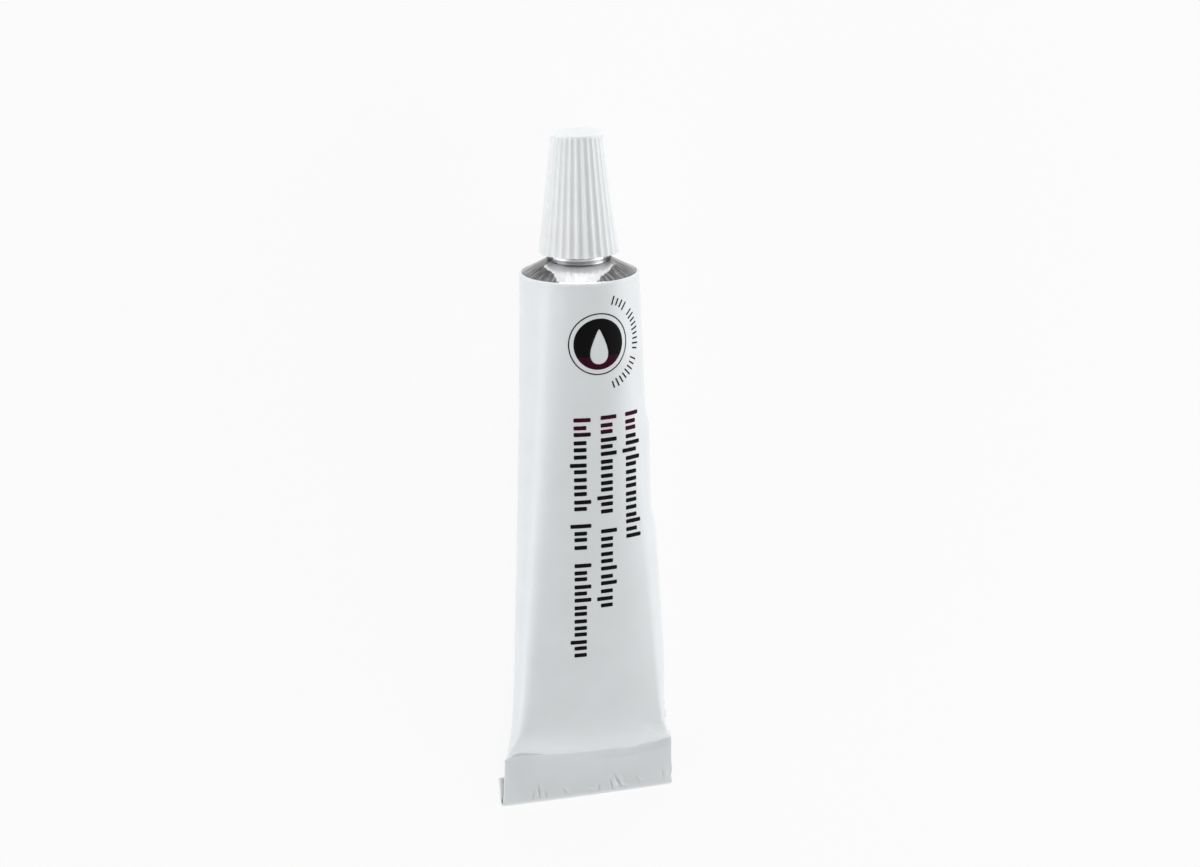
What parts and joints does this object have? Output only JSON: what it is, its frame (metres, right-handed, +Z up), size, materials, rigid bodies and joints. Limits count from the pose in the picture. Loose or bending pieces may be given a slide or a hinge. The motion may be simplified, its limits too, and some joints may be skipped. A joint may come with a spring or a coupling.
{
  "type": "collapsible grease tube with screw cap",
  "caption": "Small white enamelled aluminium tube, crimped flat at one end, with a bare shoulder and a long ribbed conical screw cap over its nozzle.",
  "frame": {"origin": "middle of the footprint on the surface that the tube lies on", "axes": "the tube lies on its back: +Y along its length towards the cap, +X along the crimp, +Z up out of the printed side"},
  "size_m": [0.0212, 0.08, 0.0135],
  "materials": {
    "enamelled_aluminium": "semi-gloss white enamel over thin soft aluminium, bare on the shoulder and neck",
    "white_plastic": "satin moulded polyethylene",
    "grease": "translucent whitish silicone paste"
  },
  "bodies": {
    "filled_tube": {"tube": "enamelled_aluminium", "grease": "grease"},
    "screw_cap": {"cap": "white_plastic"}
  },
  "joints": [
    {"name": "cap_lift", "type": "slide", "parent": "filled_tube", "child": "screw_cap", "axis": [0, 0.9953, 0.0966], "range_m": [0, 0.016]}
  ]
}
